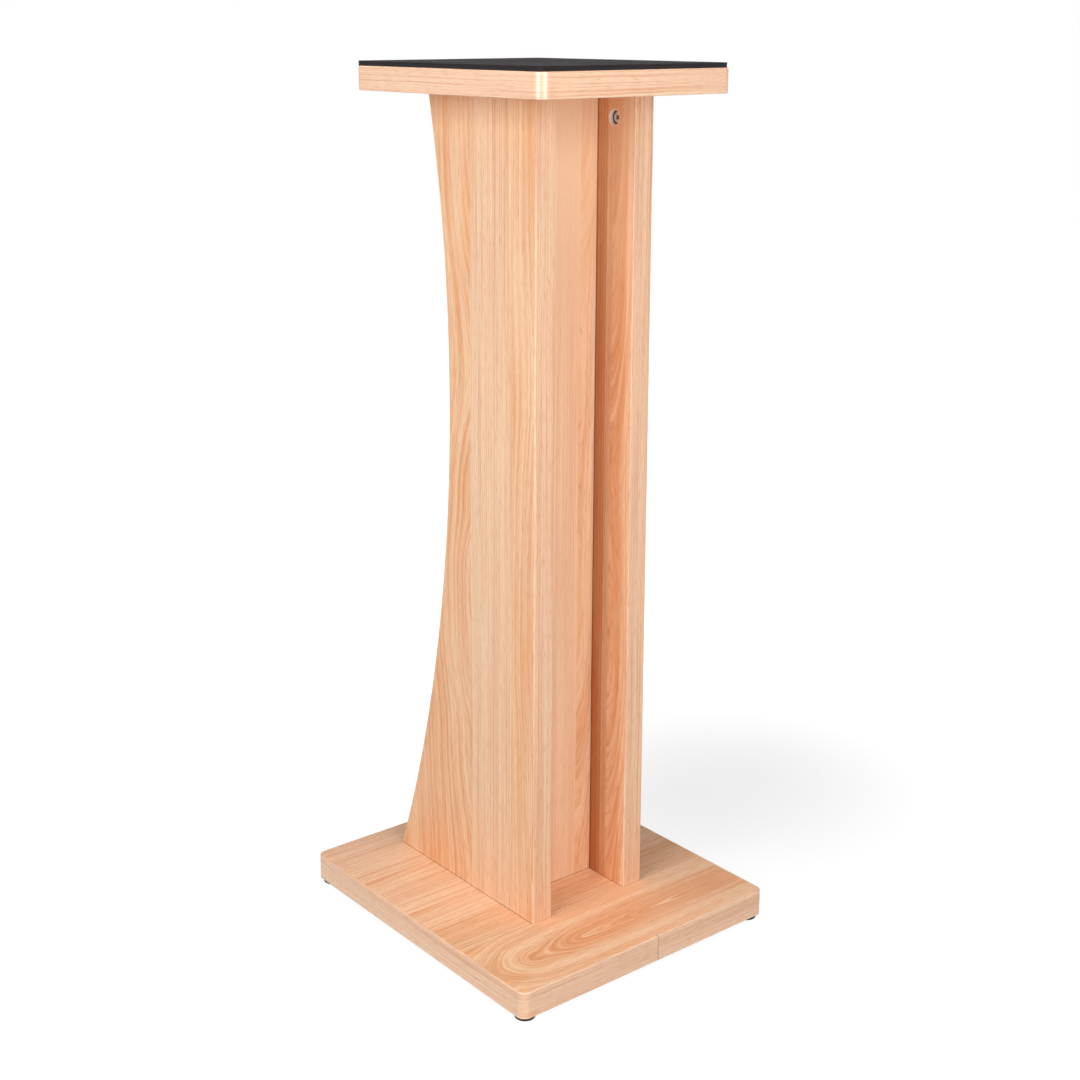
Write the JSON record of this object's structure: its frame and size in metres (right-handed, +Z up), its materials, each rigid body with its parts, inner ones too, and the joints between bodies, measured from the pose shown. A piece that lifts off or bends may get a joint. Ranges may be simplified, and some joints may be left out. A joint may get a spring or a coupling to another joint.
{
  "type": "speaker stand",
  "caption": "Floor stand for a loudspeaker: laminated base and top boards on a two-panel column with an open cable channel and cam-lock joints.",
  "frame": {"origin": "on the floor, under the middle of the base board", "axes": "+Z up; +Y from the cable channel side to the curved side; +X to the right when looking along +Y into the channel"},
  "size_m": [0.336, 0.371, 0.9145],
  "materials": {
    "laminate": "satin light oak decor laminate",
    "edging": "satin light oak decor edge band",
    "pad": "matt black foam rubber",
    "feet": "matt black moulded rubber",
    "zinc": "nickel-plated die-cast zinc",
    "steel": "zinc-plated steel",
    "beech": "plain turned beech"
  },
  "bodies": {
    "stand": {"base_board": "laminate", "left_side_panel": "laminate", "right_side_panel": "laminate", "centre_panel": "laminate", "top_board": "laminate", "base_edge_band": "edging", "top_edge_band": "edging", "left_straight_edge_band": "edging", "right_straight_edge_band": "edging", "left_curved_edge_band": "edging", "right_curved_edge_band": "edging", "speaker_pad": "pad", "channel_left_foot": "feet", "channel_right_foot": "feet", "curved_left_foot": "feet", "curved_right_foot": "feet", "top_cam_bolts": "steel", "centre_cam_bolts": "steel", "base_screws": "steel", "foot_screws": "steel", "top_dowels": "beech", "centre_dowels": "beech"},
    "left_channel_lock": {"left_channel_cam": "zinc"},
    "left_bay_lock": {"left_bay_cam": "zinc"},
    "right_channel_lock": {"right_channel_cam": "zinc"},
    "right_bay_lock": {"right_bay_cam": "zinc"},
    "left_lower_centre_lock": {"left_lower_centre_cam": "zinc"},
    "left_upper_centre_lock": {"left_upper_centre_cam": "zinc"},
    "right_lower_centre_lock": {"right_lower_centre_cam": "zinc"},
    "right_upper_centre_lock": {"right_upper_centre_cam": "zinc"}
  },
  "joints": [
    {"name": "left_channel_cam_turn", "type": "hinge", "parent": "stand", "child": "left_channel_lock", "pos_m": [-0.0553, -0.057, 0.8595], "axis": [1, 0, 0], "range_deg": [0, 180]},
    {"name": "left_bay_cam_turn", "type": "hinge", "parent": "stand", "child": "left_bay_lock", "pos_m": [-0.0553, 0.038, 0.8595], "axis": [1, 0, 0], "range_deg": [0, 180]},
    {"name": "right_channel_cam_turn", "type": "hinge", "parent": "stand", "child": "right_channel_lock", "pos_m": [0.0553, -0.057, 0.8595], "axis": [-1, 0, 0], "range_deg": [0, 180]},
    {"name": "right_bay_cam_turn", "type": "hinge", "parent": "stand", "child": "right_bay_lock", "pos_m": [0.0553, 0.038, 0.8595], "axis": [-1, 0, 0], "range_deg": [0, 180]},
    {"name": "left_lower_centre_cam_turn", "type": "hinge", "parent": "stand", "child": "left_lower_centre_lock", "pos_m": [-0.0258, -0.0115, 0.1525], "axis": [0, 1, 0], "range_deg": [0, 180]},
    {"name": "left_upper_centre_cam_turn", "type": "hinge", "parent": "stand", "child": "left_upper_centre_lock", "pos_m": [-0.0258, -0.0115, 0.7645], "axis": [0, 1, 0], "range_deg": [0, 180]},
    {"name": "right_lower_centre_cam_turn", "type": "hinge", "parent": "stand", "child": "right_lower_centre_lock", "pos_m": [0.0258, -0.0115, 0.1525], "axis": [0, 1, 0], "range_deg": [0, 180]},
    {"name": "right_upper_centre_cam_turn", "type": "hinge", "parent": "stand", "child": "right_upper_centre_lock", "pos_m": [0.0258, -0.0115, 0.7645], "axis": [0, 1, 0], "range_deg": [0, 180]}
  ]
}
